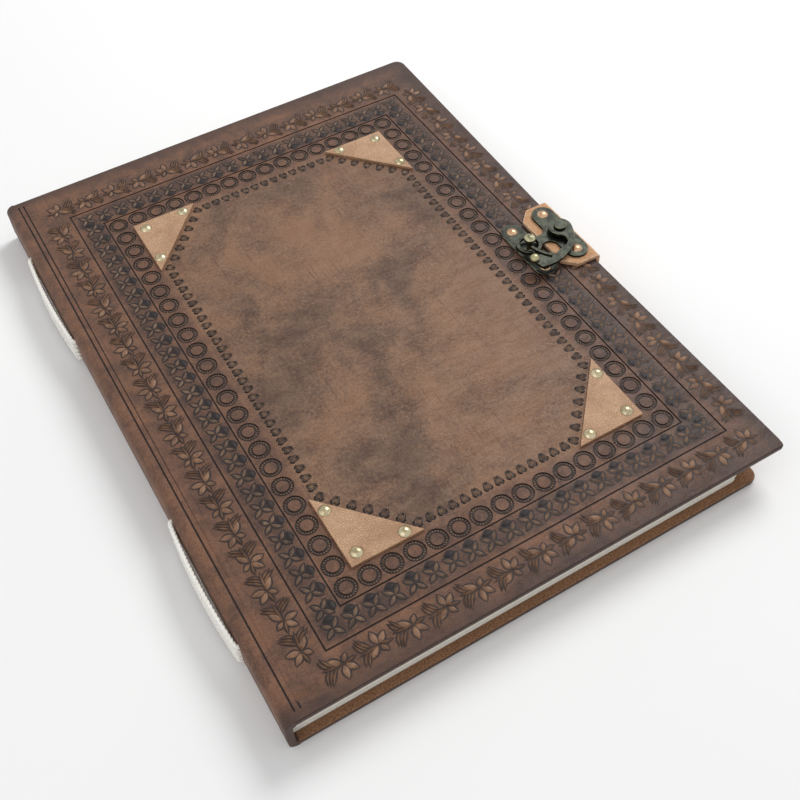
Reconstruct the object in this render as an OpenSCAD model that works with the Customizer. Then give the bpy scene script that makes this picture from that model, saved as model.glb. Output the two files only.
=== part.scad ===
/* [Covers] */
// Width from the outside of the spine to the fore edge
book_w = 242; // [200:1:280]
// Height from head to tail
book_h = 330; // [300:1:380]
// Thickness of the leather
leather_t = 3; // [2:0.25:4]
// Outer radius of the two folds at the spine
fold_r = 4.5; // [4.5:0.25:8]
// How far the front cover widens towards the head at its fore edge
fore_flare = 4; // [0:0.5:6]
// How far the head edge rises towards the fore edge
head_rise = 3; // [0:0.5:6]
// Corner radius of the front cover at the head
head_corner_r = 5; // [2:0.5:10]
// Corner radius of the front cover at the tail
tail_corner_r = 1.5; // [1:0.5:10]
// Corner radius of the back cover
back_corner_r = 5; // [2:0.5:10]
// How far the front cover reaches past the back cover at the fore edge
back_short = 8.5; // [4:0.5:12]

/* [Pages] */
// Thickness of the page block
block_t = 15; // [10:0.5:30]
// How far the front cover reaches past the pages at the fore edge
fore_overhang = 20; // [14:1:26]
// How far the covers reach past the pages at head and tail
edge_overhang = 4; // [2:0.5:8]
// How far the middle of each gathering stands out at the fore edge
creep = 0.8; // [0:0.1:2]

/* [Sewing] */
// Diameter of the sewing cord
cord_d = 2.2; // [1.5:0.1:2.6]
// Number of gatherings of pages, each with its own pair of long stitches
gatherings = 5; // [4:1:6]
// Length of one long stitch
stitch_l = 66; // [50:1:80]
// Distance from the middle of the spine to the middle of a stitch
stitch_y = 92; // [80:1:100]
// How far a stitch bows out past the spine
stitch_bow = 0.7; // [0.2:0.1:1.5]

/* [Tooled border] */
// Width inside the border, between the outer sides of the corner patches
panel_w = 147; // [130:1:150]
// Height inside the border
panel_h = 234; // [210:1:236]
// How far the border sits towards the fore edge
border_x = 5.4; // [0:0.1:6]
// How far the border sits towards the tail
border_y = -3.4; // [-4:0.1:0]
// Depth of the tooling
tool_depth = 0.5; // [0.3:0.05:0.8]
// Number of ring stamps across the head and the tail
rings_across = 16; // [12:1:17]
// Number of ring stamps along each side
rings_down = 23; // [18:1:24]
// Outside diameter of a ring stamp
ring_d = 10; // [7:0.1:10.2]
// Diameter of the plain middle of a ring stamp
ring_core_d = 5.6; // [3:0.1:6]
// Distance from the panel edge to the row of ring stamps
ring_out = 6.1; // [5.6:0.1:7]
// Distance from the panel edge to the row of crossed leaves
cross_out = 18.8; // [18:0.1:20]
// Spacing of the crossed leaves
cross_pitch = 9.2; // [8.5:0.1:11]
// Length of one crossed leaf
cross_leaf_l = 5.6; // [4:0.1:5.8]
// Distance from the panel edge to the leaf scroll
scroll_out = 35.6; // [34:0.1:37]
// Spacing of the leaf scroll
scroll_pitch = 18; // [16:0.5:22]
// Length of one leaf in the scroll
scroll_leaf_l = 6.6; // [5:0.1:7]
// Distance from the panel edge in to the row of hearts
heart_in = 4.5; // [4:0.1:6]
// Spacing of the hearts
heart_pitch = 5.7; // [5.4:0.1:8]
// Height of one heart
heart_h = 5; // [3.5:0.1:5.2]
// Width of one heart
heart_w = 4.6; // [3:0.1:4.8]
// Distance from the panel edge to the line between rings and crossed leaves
inner_line_out = 12.4; // [12:0.1:12.6]
// Distance from the panel edge to the line between crossed leaves and scroll
outer_line_out = 26; // [25.4:0.1:26.6]
// Width of a tooled line
line_w = 0.8; // [0.5:0.1:1.2]
// Distance from the outside of the spine to the first of the two lines beside it
spine_line_in = 6.3; // [6:0.1:7]
// Spacing of the two lines beside the spine
spine_line_pitch = 2.6; // [1.6:0.1:3]
// Number of hearts along the slanting side of a corner patch
slant_hearts = 7; // [5:1:7]

/* [Corner patches] */
// Length of a patch across the cover
patch_w = 34; // [28:1:38]
// Length of a patch along the cover
patch_h = 37.5; // [32:0.5:40]
// Thickness of a patch
patch_t = 1.4; // [1:0.1:2]
// Distance of the corner rivet from the two straight sides of its patch
rivet_inset = 5; // [4:0.1:7]
// Distance of a far rivet from the straight side that it follows
far_inset = 3.2; // [3:0.1:4]
// Distance across the cover from a patch's corner to its far rivet
far_reach_x = 26.5; // [22:0.5:28]
// Distance along the cover from a patch's corner to its far rivet
far_reach_y = 29; // [25:0.5:31]
// Diameter of a domed rivet head
rivet_d = 6; // [5:0.1:6.5]
// Height of a domed rivet head
rivet_dome = 1.5; // [1.1:0.1:2]
// Diameter of a rivet shank
rivet_shank_d = 2.4; // [2:0.1:3]
// Thickness of the flat rivet cap on the inside of a cover
rivet_cap_t = 0.5; // [0.4:0.1:0.8]

/* [Clasp] */
// Place of the clasp along the fore edge, from the middle
clasp_y = -8.3; // [-20:0.1:20]
// Length of the two clasp plates
plate_l = 40; // [38:0.5:42]
// Width of the two clasp plates
plate_w = 12; // [11:0.5:13]
// Thickness of the catch plate
catch_t = 1; // [0.8:0.1:1.5]
// Distance between the two rivets of a clasp plate
plate_rivets = 29.2; // [28:0.1:30]
// Distance from the fore edge in to the pivot of the hook
pivot_in = 6.2; // [6:0.1:8]
// Distance from the pivot to the catch post
post_reach = 18.7; // [18.5:0.1:19.5]
// Diameter of the post's neck
neck_d = 2.2; // [1.8:0.1:2.4]
// Diameter of the post's domed head
post_head_d = 5.8; // [5:0.1:6.2]
// Height of the post's domed head
post_head_h = 2.4; // [2:0.1:3]
// Thickness of the hasp plate
hasp_t = 1.4; // [1:0.1:1.6]
// Inside diameter of the hasp's ring
eye_d = 9.8; // [9.4:0.1:10.4]
// Width of the hasp's ring
eye_w = 1.6; // [1.4:0.1:2]
// Height that the lip of the ring stands above the hasp plate
eye_lip = 0.5; // [0.2:0.1:0.8]
// Radius of the hollows between the hasp plate and its ring
hollow_r = 4.7; // [4.2:0.1:5]
// Diameter of the domed rivets that hold the clasp plates
stud_d = 5.8; // [5:0.1:6.2]
// Height of those domed rivets
stud_dome = 1.2; // [1:0.1:1.5]

/* [Hook] */
// Thickness of the swinging hook
hook_t = 1.6; // [1.2:0.1:2]
// Radius of the hook's disc round the pivot
hook_disc_r = 6; // [5.6:0.1:6.4]
// Outer radius of the hook's curved arm
arm_r = 24.7; // [24:0.1:25.5]
// Angle at which the arm leaves the disc
arm_lean = 16; // [12:1:20]
// Radius of the hollow inside the hook
cup_r = 4.5; // [4:0.1:4.8]
// Distance from the pivot to the middle of the hollow
cup_out = 10.2; // [10:0.1:10.6]
// Angle below the post at which the hollow lies
cup_a = 51; // [49:1:53]
// Thickness of the claw that passes behind the post
claw_w = 1.3; // [1.1:0.1:1.5]
// Width of the slot between the claw and the lever
slot_w = 2; // [1.6:0.1:2.2]
// Angle below the post at which the claw ends
claw_tip_a = 12; // [10:1:16]
// Angle at which the slot ends
slot_end_a = 44; // [40:1:48]
// Angle at which the lever starts
lever_a = 27.5; // [26:0.5:30]
// Distance from the pivot to the middle of the ball
ball_out = 27.6; // [27:0.1:28.5]
// Diameter of the ball on the end of the lever
ball_d = 5.2; // [4.4:0.1:5.6]
// Height of the ball's middle above the middle of the hook
ball_up = 1.2; // [0:0.1:2]
// Diameter of the pivot's shank
pivot_d = 3.2; // [2.6:0.1:4]
// Diameter of the pivot's flat head
pivot_head_d = 6.2; // [5.4:0.1:7]
// Height of the pivot's flat head
pivot_head_h = 1.3; // [1:0.1:1.6]

/* [Strap] */
// Width of the strap
strap_w = 46; // [44:0.5:50]
// Thickness of the strap
strap_t = 2.4; // [1.8:0.1:2.6]
// Length of the strap that lies on the front cover
strap_over = 17; // [16.5:0.5:20]
// Size of the cut corners at the end of the strap
strap_cut = 6.4; // [4:0.2:8]
// How far the tail of the strap runs in under the pages
strap_tail = 24; // [16:1:40]
// Thickness of the strap where it is pared down to be let into the back cover
tail_t = 2; // [1.2:0.1:2]
// Distance of the tail rivets from the back cover's fore edge
tail_rivet_in = 7; // [6:0.5:8]
// Distance between the two tail rivets
tail_rivets = 26; // [16:1:30]

/* [Clearances] */
// Gap between pieces that move past each other
gap = 0.3; // [0.2:0.05:0.4]
// Gap between the pages and each cover
page_gap = 0.2; // [0.1:0.05:0.3]
// Gap round a rivet shank in its hole
shank_gap = 0.05; // [0.02:0.01:0.1]
// Gap between the hook and the pivot that it turns on
pivot_gap = 0.08; // [0.02:0.01:0.1]
// Gap round the sewing cord in its holes
thread_gap = 0.15; // [0.12:0.01:0.18]

/* [Hidden] */
$fn = 48;
eps = 0.01;

book_t = 2 * leather_t + block_t;
spine_x = -book_w / 2;
fore_x = book_w / 2;
head_y = book_h / 2;
hinge_x = spine_x + fold_r;
front_z = book_t - leather_t;
back_fore_x = fore_x - back_short;
page_fore_x = fore_x - fore_overhang;
page_y = head_y - edge_overhang;
flare_y = clasp_y + strap_w / 2 + 6;

// Gatherings of pages and the holes that the cord passes through
gather_t = (block_t - 2 * page_gap) / gatherings;
gather_z = [for (i = [0:gatherings - 1]) leather_t + page_gap + (i + 0.5) * gather_t];
page_back_x = spine_x + leather_t + page_gap;
thread_x = page_back_x + gather_t / 2;
thread_d = cord_d + 2 * thread_gap;
channel_d = thread_d / cos(22.5);
turn_r = cord_d * 0.6;
cord_out_x = spine_x - cord_d / 2 - gap / 2;
hole_y = [for (s = [-1, 1], e = [-1, 1]) s * stitch_y + e * stitch_l / 2];
cord_end_y = stitch_y + stitch_l / 2 + 2 * turn_r;

// Clasp: places along X and heights above the table
pivot_x = fore_x - pivot_in;
post_x = pivot_x - post_reach;
strap_end_x = fore_x + gap + strap_t;
flap_z = book_t + gap;
hasp_z = flap_z + strap_t;
hasp_top = hasp_z + hasp_t;
hook_z = hasp_top + stud_dome + gap;
hook_top = hook_z + hook_t;
post_head_z = hook_top + gap;
stud_cap_d = stud_d * 0.8;
rivet_cap_d = rivet_d * 0.8;

// Radii of the claw and its slot, measured from the hook's pivot
claw_in_r = post_reach + neck_d / 2 + gap;
claw_out_r = claw_in_r + claw_w;
slot_out_r = claw_out_r + slot_w;

// Turn of the ball about its own axis, which keeps its seam clear of the lever's corner
ball_turn = 37;

// How far the hollows of the hasp's waist run into its plate and its ring
waist_bite = 0.15;

// Angles on the hook: where the arm's outer curve ends, where the claw leaves the arm, the lip of
// the arm's hollow, and the two ends of that hollow's curve
arm_end_a = -104;
claw_root_a = 38;
lip_a = 49;
cup_from_a = -97;
cup_to_a = 60;

saddle = [0.34, 0.22, 0.15];
saddle_dark = [0.24, 0.16, 0.12];
tan = [0.72, 0.56, 0.42];
suede = [0.70, 0.54, 0.40];
paper = [0.90, 0.89, 0.84];
cotton = [0.93, 0.92, 0.88];
bronze = [0.30, 0.31, 0.27];
champagne = [0.70, 0.66, 0.50];

function arc(cx, cy, r, a, b, n) =
    [for (i = [0:n]) let (t = a + (b - a) * i / n) [cx + r * cos(t), cy + r * sin(t)]];

function unit(v) = v / norm(v);

// A point at a distance from the hook's pivot and at an angle below the post
function from_pivot(r, a) = [-r * cos(a), -r * sin(a)];

// Outline of the front cover: a hand-cut sheet, a little wider at the head
module front_outline() {
    flare_x = fore_x + fore_flare;
    rise_y = head_y + head_rise;
    slope_head = atan2(head_rise, flare_x - hinge_x);
    slope_fore = atan2(fore_flare, rise_y - flare_y);
    polygon(concat(
        [[hinge_x, -head_y]],
        arc(fore_x - tail_corner_r, -head_y + tail_corner_r, tail_corner_r, -90, 0, 4),
        [[fore_x, flare_y]],
        arc(flare_x - head_corner_r, rise_y - head_corner_r, head_corner_r,
            -slope_fore, 90 + slope_head, 5),
        [[hinge_x, head_y]]));
}

// Outline of the back cover
module back_outline() {
    polygon(concat(
        [[hinge_x, -head_y]],
        arc(back_fore_x - back_corner_r, -head_y + back_corner_r, back_corner_r, -90, 0, 5),
        arc(back_fore_x - back_corner_r, head_y - back_corner_r, back_corner_r, 0, 90, 5),
        [[hinge_x, head_y]]));
}

// Outline of a clasp plate: a bar with round ends, along Y
module plate_outline(w, l) {
    square([w, l - w], center = true);
    for (s = [-1, 1])
        translate([0, s * (l - w) / 2]) circle(d = w);
}

// A rivet head: a spherical cap standing on z = 0
module dome(d, h) {
    r = (d * d / 4 + h * h) / (2 * h);
    intersection() {
        translate([0, 0, h - r]) sphere(r);
        cylinder(d = d, h = h);
    }
}

// A rivet through layers of the given thickness: a domed head above z = 0, and a flat cap
// let in flush on the far side
module rivet(head_d, dome_h, cap_d, grip) {
    dome(head_d, dome_h);
    translate([0, 0, -grip]) cylinder(d = rivet_shank_d, h = grip + eps);
    translate([0, 0, -grip]) cylinder(d = cap_d, h = rivet_cap_t);
}

// The hole for a rivet, with the seat for its flat cap at z = 0
module rivet_hole(cap_d, depth) {
    translate([0, 0, -1]) cylinder(d = rivet_shank_d + 2 * shank_gap, h = depth + 2);
    translate([0, 0, -1]) cylinder(d = cap_d + 2 * shank_gap, h = rivet_cap_t + 1);
}

// Places the children at the two rivets of a clasp plate
module plate_pair(x) {
    for (s = [-1, 1])
        translate([x, clasp_y + s * plate_rivets / 2, 0]) children();
}

// Places the children at one corner of the panel, with +X and +Y pointing into the panel
module panel_corner(sx, sy) {
    translate([border_x - sx * panel_w / 2, border_y - sy * panel_h / 2, 0])
        mirror([sx < 0 ? 1 : 0, 0, 0]) mirror([0, sy < 0 ? 1 : 0, 0]) children();
}

// Places the children at the three rivets of one patch
module patch_places() {
    for (p = [[rivet_inset, rivet_inset], [far_reach_x, far_inset], [far_inset, far_reach_y]])
        translate([p.x, p.y, 0]) children();
}

// Places the children along the four sides of a rectangle round the panel
module along_border(out, nx, ny) {
    hx = panel_w / 2 + out;
    hy = panel_h / 2 + out;
    translate([border_x, border_y]) for (s = [-1, 1]) {
        for (i = [0:nx - 1])
            translate([hx * (2 * i / (nx - 1) - 1), s * hy]) rotate(s < 0 ? 0 : 180) children();
        for (i = [1:ny - 2])
            translate([s * hx, hy * (2 * i / (ny - 1) - 1)]) rotate(s * 90) children();
    }
}

// A tooled line round the panel
module border_line(out) {
    w = panel_w + 2 * out;
    h = panel_h + 2 * out;
    translate([border_x, border_y]) difference() {
        square([w, h], center = true);
        square([w - 2 * line_w, h - 2 * line_w], center = true);
    }
}

module ring_stamp() {
    difference() {
        circle(d = ring_d, $fn = 24);
        circle(d = ring_core_d, $fn = 16);
    }
}

// Four pointed leaves that cross
module cross_stamp() {
    notch = cross_leaf_l * 0.34;
    polygon([for (i = [0:7]) let (r = i % 2 == 0 ? notch : cross_leaf_l) [r * cos(45 * i), r * sin(45 * i)]]);
}

// A heart with its tip towards +Y
module heart_stamp() {
    side = [[0.5, -0.16], [0.42, -0.4], [0.2, -0.5]];
    polygon(concat(
        [[0, heart_h / 2]],
        [for (p = side) [p.x * heart_w, p.y * heart_h]],
        [[0, -heart_h * 0.32]],
        [for (i = [2:-1:0]) [-side[i].x * heart_w, side[i].y * heart_h]]));
}

// One pointed leaf, from the origin towards +Y
module leaf(l) {
    w = l * 0.24;
    polygon([[0, 0], [w, l * 0.35], [w * 0.8, l * 0.65], [0, l], [-w * 0.8, l * 0.65], [-w, l * 0.35]]);
}

// One repeat of the leaf scroll: a fan of leaves and two curls
module scroll_stamp() {
    curl_d = scroll_pitch * 0.27;
    for (a = [-50, 0, 50])
        translate([-scroll_pitch * 0.2, -scroll_leaf_l * 0.5]) rotate(a)
            translate([0, 0.9]) leaf(scroll_leaf_l);
    for (s = [-1, 1])
        translate([scroll_pitch * 0.32, s * curl_d * 0.62]) difference() {
            circle(d = curl_d, $fn = 20);
            circle(d = curl_d - 2 * line_w, $fn = 20);
        }
}

// Hearts along the straight sides of the panel, between the corner patches
module straight_hearts() {
    run_x = panel_w - 2 * patch_w - 2 * heart_in;
    run_y = panel_h - 2 * patch_h - 2 * heart_in;
    nx = floor(run_x / heart_pitch) + 1;
    ny = floor(run_y / heart_pitch) + 1;
    translate([border_x, border_y]) for (s = [-1, 1]) {
        for (i = [0:nx - 1])
            translate([(i - (nx - 1) / 2) * heart_pitch, -s * (panel_h / 2 - heart_in)])
                rotate(s > 0 ? 0 : 180) heart_stamp();
        for (i = [0:ny - 1])
            translate([s * (panel_w / 2 - heart_in), (i - (ny - 1) / 2) * heart_pitch])
                rotate(s * 90) heart_stamp();
    }
}

// Hearts along the slanting side of one patch
module patch_hearts() {
    away = unit([patch_h, patch_w]) * (heart_h / 2 + 0.9);
    for (i = [0:slant_hearts - 1]) {
        t = (i + 0.5) / slant_hearts;
        translate([patch_w * (1 - t) + away.x, patch_h * t + away.y])
            rotate(atan2(away.y, away.x) - 90) heart_stamp();
    }
}

// Everything that is tooled into the front cover, seen from above
module tooling() {
    hx = panel_w / 2;
    hy = panel_h / 2;
    along_border(ring_out, rings_across, rings_down) ring_stamp();
    along_border(cross_out, 1 + round(2 * (hx + cross_out) / cross_pitch),
        1 + round(2 * (hy + cross_out) / cross_pitch)) cross_stamp();
    along_border(scroll_out, 1 + round(2 * (hx + scroll_out) / scroll_pitch),
        1 + round(2 * (hy + scroll_out) / scroll_pitch)) scroll_stamp();
    border_line(inner_line_out);
    border_line(outer_line_out);
    straight_hearts();
    for (sx = [-1, 1], sy = [-1, 1]) panel_corner(sx, sy) patch_hearts();
    for (i = [0:1])
        translate([spine_x + spine_line_in + i * spine_line_pitch - line_w / 2, -head_y + 4])
            square([line_w, book_h - 8]);
}

// Section of the spine leather: flat back, a round fold at each edge
module spine_section() {
    r_out = fold_r - gap;
    r_in = r_out - leather_t;
    x = hinge_x - gap;
    polygon(concat(
        arc(x, r_out, r_out, 270, 180, 10),
        arc(x, book_t - r_out, r_out, 180, 90, 10),
        arc(x, book_t - r_out, r_in, 90, 180, 8),
        arc(x, r_out, r_in, 180, 270, 8)));
}

// Section of the page block: the folded backs of the gatherings at the spine, their stepped
// edges at the fore edge
module page_section() {
    r = gather_t / 2;
    last = gatherings - 1;
    polygon(concat(
        [[page_back_x + r, gather_z[0] - r]],
        [for (i = [0:last]) each arc(page_back_x + r, gather_z[i], r, 250, 110, 8)],
        [[page_back_x + r, gather_z[last] + r]],
        [for (i = [last:-1:0]) each [
            [page_fore_x - creep, gather_z[i] + r * 0.96],
            [page_fore_x, gather_z[i] + r * 0.2],
            [page_fore_x, gather_z[i] - r * 0.2]]],
        [[page_fore_x - creep, gather_z[0] - r]]));
}

// The holes in the spine and in the folded backs of the gatherings
module thread_holes() {
    for (z = gather_z, y = hole_y)
        translate([spine_x - 1, y, z]) rotate([0, 90, 0])
            cylinder(d = thread_d, h = thread_x - spine_x + 1);
}

// The way of the cord inside the folds of the gatherings, eight-sided so that its walls cross
// the round holes cleanly
module thread_channels() {
    inner_y = stitch_y - stitch_l / 2;
    end_y = cord_end_y + gather_t / 2;
    for (z = gather_z) {
        translate([thread_x, 0, z]) rotate([90, 0, 0])
            cylinder(d = channel_d, h = 2 * inner_y + thread_d, center = true, $fn = 8);
        for (s = [-1, 1])
            translate([thread_x, s * (hole_y[3] + end_y) / 2, z]) rotate([90, 0, 0])
                cylinder(d = channel_d, h = end_y - hole_y[3] + thread_d, center = true, $fn = 8);
    }
    for (i = [0:gatherings - 2])
        translate([thread_x, i % 2 == 0 ? -end_y : end_y, gather_z[i]])
            cylinder(d = thread_d, h = gather_t);
}

// Points of the cord for one pair of long stitches, seen from above, from head to tail
function stitch_points(mid_y) =
    let (h = stitch_l / 2, r = turn_r, run = h - r)
    concat(
        arc(thread_x - r, mid_y + h + r, r, 0, -90, 3),
        arc(cord_out_x + r, mid_y + h - r, r, 90, 180, 3),
        [for (u = [0.6, 0.2, -0.2, -0.6]) [cord_out_x - stitch_bow * (1 - u * u), mid_y + u * run]],
        arc(cord_out_x + r, mid_y - h + r, r, 180, 270, 3),
        arc(thread_x - r, mid_y - h - r, r, 90, 0, 3));

// The whole way of the cord: up and down the book, one gathering after another, with a turn
// inside the pages at the end of each
function cord_points() =
    let (flat = concat(stitch_points(stitch_y), stitch_points(-stitch_y)), n = len(flat))
    [for (i = [0:gatherings - 1])
        let (down = i % 2 == 0, z = gather_z[i], end = down ? -cord_end_y : cord_end_y)
        each concat(
            [[thread_x, -end, z]],
            [for (k = [0:n - 1]) let (p = flat[down ? k : n - 1 - k]) [p.x, p.y, z]],
            [[thread_x, end, z]],
            i == gatherings - 1 ? [] : [for (a = [30:30:150])
                [thread_x, end + sign(end) * sin(a) * gather_t / 2, z + (1 - cos(a)) * gather_t / 2]])];

// A round cord swept along points, with the frame carried on from ring to ring
module cord(points, d, sides) {
    n = len(points);
    along = [for (i = [0:n - 1]) unit(points[min(i + 1, n - 1)] - points[max(i - 1, 0)])];
    up = [for (i = 0, u = [0, 0, 1]; i < n; i = i + 1,
        u = i < n ? unit(u - (u * along[i]) * along[i]) : u) u];
    rings = [for (i = [0:n - 1], j = [0:sides - 1])
        let (a = 360 * j / sides) points[i] + d / 2 * (cos(a) * up[i] + sin(a) * cross(along[i], up[i]))];
    walls = [for (i = [0:n - 2], j = [0:sides - 1])
        let (a = i * sides + j, b = i * sides + (j + 1) % sides)
        each [[a, b + sides, b], [a, a + sides, b + sides]]];
    polyhedron(rings, concat(
        [[for (j = [0:sides - 1]) j]],
        walls,
        [[for (j = [sides - 1:-1:0]) (n - 1) * sides + j]]));
}

module back_cover() {
    pocket_y = clasp_y - strap_w / 2 - shank_gap;
    color(saddle) difference() {
        linear_extrude(leather_t) back_outline();
        translate([back_fore_x - strap_tail - shank_gap, pocket_y, leather_t - tail_t])
            cube([strap_tail + 10, strap_w + 2 * shank_gap, tail_t + 1]);
        for (s = [-1, 1])
            translate([back_fore_x - tail_rivet_in, clasp_y + s * tail_rivets / 2, 0])
                rivet_hole(rivet_cap_d, leather_t);
    }
}

// The strap's lower part: let into the back cover, then out past it and up beside the fore edge
module strap_tail() {
    r = strap_t + 0.6;
    z0 = leather_t - tail_t;
    side_x = fore_x + gap;
    end_x = back_fore_x - strap_tail;
    section = concat(
        [[end_x, z0]],
        arc(strap_end_x - r, z0 + r, r, 270, 360, 8),
        [[strap_end_x, book_t], [side_x, book_t]],
        arc(side_x - 1, leather_t + 1, 1, 360, 270, 4),
        [[end_x, leather_t]]);
    color(suede) difference() {
        translate([0, clasp_y + strap_w / 2, 0]) rotate([90, 0, 0])
            linear_extrude(strap_w) polygon(section);
        for (s = [-1, 1])
            translate([back_fore_x - tail_rivet_in, clasp_y + s * tail_rivets / 2, 0])
                cylinder(d = rivet_shank_d + 2 * shank_gap, h = leather_t + 1);
    }
}

module strap_rivets() {
    color(champagne) for (s = [-1, 1])
        translate([back_fore_x - tail_rivet_in, clasp_y + s * tail_rivets / 2, leather_t])
            rivet(rivet_d, rivet_dome, rivet_cap_d, leather_t);
}

module spine() {
    color(saddle_dark) difference() {
        translate([0, head_y, 0]) rotate([90, 0, 0]) linear_extrude(book_h) spine_section();
        thread_holes();
    }
}

module page_block() {
    color(paper) difference() {
        translate([0, page_y, 0]) rotate([90, 0, 0]) linear_extrude(2 * page_y) page_section();
        thread_holes();
        thread_channels();
    }
}

module sewing_cord() {
    color(cotton) cord(cord_points(), cord_d, 8);
}

module front_cover() {
    color(saddle) difference() {
        translate([0, 0, front_z]) linear_extrude(leather_t) front_outline();
        translate([0, 0, book_t - tool_depth]) linear_extrude(1) tooling();
        translate([0, 0, front_z]) {
            for (sx = [-1, 1], sy = [-1, 1])
                panel_corner(sx, sy) patch_places() rivet_hole(rivet_cap_d, leather_t);
            plate_pair(post_x) rivet_hole(stud_cap_d, leather_t);
            translate([post_x, clasp_y, 0]) rivet_hole(stud_cap_d, leather_t);
        }
    }
}

// A corner patch: a right-angled triangle of light leather
module patch(sx, sy) {
    color(tan) translate([0, 0, book_t]) panel_corner(sx, sy) difference() {
        linear_extrude(patch_t) polygon([[0, 0], [patch_w, 0], [0, patch_h]]);
        patch_places() translate([0, 0, -1]) cylinder(d = rivet_shank_d + 2 * shank_gap, h = patch_t + 2);
    }
}

module patch_rivets() {
    color(champagne) for (sx = [-1, 1], sy = [-1, 1])
        panel_corner(sx, sy) patch_places() translate([0, 0, book_t + patch_t])
            rivet(rivet_d, rivet_dome, rivet_cap_d, leather_t + patch_t);
}

module catch_plate() {
    hole_d = rivet_shank_d + 2 * shank_gap;
    color(bronze) translate([0, 0, book_t]) difference() {
        translate([post_x, clasp_y, 0]) linear_extrude(catch_t) plate_outline(plate_w, plate_l);
        plate_pair(post_x) translate([0, 0, -1]) cylinder(d = hole_d, h = catch_t + 2);
        translate([post_x, clasp_y, -1]) cylinder(d = hole_d, h = catch_t + 2);
    }
}

module catch_post() {
    plate_z = book_t + catch_t;
    color(champagne) translate([post_x, clasp_y, 0]) {
        translate([0, 0, front_z]) cylinder(d = stud_cap_d, h = rivet_cap_t);
        translate([0, 0, front_z]) cylinder(d = rivet_shank_d, h = plate_z - front_z);
        translate([0, 0, plate_z]) cylinder(d = neck_d, h = post_head_z - plate_z + eps);
        translate([0, 0, post_head_z]) cylinder(d = post_head_d, h = post_head_h / 2);
        translate([0, 0, post_head_z + post_head_h / 2]) dome(post_head_d, post_head_h / 2);
    }
}

module catch_rivets() {
    color(champagne) plate_pair(post_x) translate([0, 0, book_t + catch_t])
        rivet(stud_d, stud_dome, stud_cap_d, leather_t + catch_t);
}

// The strap's upper part: lies on the front cover, its end corners cut off, rounded over at
// the fold
module strap_flap() {
    x0 = fore_x - strap_over;
    half = strap_w / 2;
    fold = strap_t * 0.8;
    color(suede) difference() {
        translate([0, clasp_y, flap_z]) intersection() {
            linear_extrude(strap_t) polygon([
                [x0 + strap_cut, -half], [strap_end_x, -half], [strap_end_x, half],
                [x0 + strap_cut, half], [x0, half - strap_cut], [x0, -half + strap_cut]]);
            translate([0, half, 0]) rotate([90, 0, 0]) linear_extrude(strap_w) polygon(concat(
                [[x0 - 1, 0], [strap_end_x, 0]],
                arc(strap_end_x - fold, strap_t - fold, fold, 0, 90, 6),
                [[x0 - 1, strap_t]]));
        }
        translate([0, 0, flap_z]) {
            plate_pair(pivot_x) rivet_hole(stud_cap_d, strap_t);
            translate([pivot_x, clasp_y, 0]) pivot_hole(strap_t);
        }
    }
}

// The hole for the hook's pivot, with the seat for its flat foot at z = 0
module pivot_hole(depth) {
    translate([0, 0, -1]) cylinder(d = pivot_d + 2 * shank_gap, h = depth + 2);
    translate([0, 0, -1]) cylinder(d = pivot_head_d + 2 * shank_gap, h = rivet_cap_t + 1);
}

// Outline of the hasp, seen from the hook's pivot: the plate, and a waist that runs on into the
// ring; the hollows of the waist bite a little into both, so nothing only touches
module hasp_outline(ring_r) {
    reach = ring_r + hollow_r - waist_bite;
    hollow_x = -plate_w / 2 - hollow_r + waist_bite;
    hollow_y = sqrt(pow(reach, 2) - pow(post_reach + hollow_x, 2));
    plate_outline(plate_w, plate_l);
    difference() {
        polygon([[-post_reach, 0], [hollow_x, -hollow_y], [-plate_w / 2 + 1, -hollow_y],
            [-plate_w / 2 + 1, hollow_y], [hollow_x, hollow_y]]);
        for (s = [-1, 1]) translate([hollow_x, s * hollow_y]) circle(hollow_r);
    }
}

module hasp_plate() {
    ring_r = eye_d / 2 + eye_w;
    color(bronze) difference() {
        union() {
            translate([pivot_x, clasp_y, hasp_z]) linear_extrude(hasp_t)
                hasp_outline(ring_r);
            translate([post_x, clasp_y, hasp_z]) cylinder(r = ring_r, h = hasp_t + eye_lip);
        }
        translate([post_x, clasp_y, hasp_z - 1]) cylinder(d = eye_d, h = hasp_t + eye_lip + 2);
        translate([pivot_x, clasp_y, hasp_z - 1]) cylinder(d = pivot_d + 2 * shank_gap, h = hasp_t + 2);
        plate_pair(pivot_x) translate([0, 0, hasp_z - 1])
            cylinder(d = rivet_shank_d + 2 * shank_gap, h = hasp_t + 2);
    }
}

module hasp_rivets() {
    color(champagne) plate_pair(pivot_x) translate([0, 0, hasp_top])
        rivet(stud_d, stud_dome, stud_cap_d, strap_t + hasp_t);
}

// The hook's pivot: a flat foot, a shank, a collar that lifts the hook over the rivets and a
// flat head
module hook_pivot() {
    collar_h = stud_dome + gap / 2;
    head_z = hook_top + gap / 2;
    color(bronze) translate([pivot_x, clasp_y, 0]) {
        translate([0, 0, flap_z]) cylinder(d = pivot_head_d, h = rivet_cap_t);
        translate([0, 0, flap_z]) cylinder(d = pivot_d, h = head_z - flap_z + eps);
        translate([0, 0, hasp_top]) cylinder(d = pivot_head_d, h = collar_h);
        translate([0, 0, head_z]) cylinder(d = pivot_head_d, h = pivot_head_h);
    }
}

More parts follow.
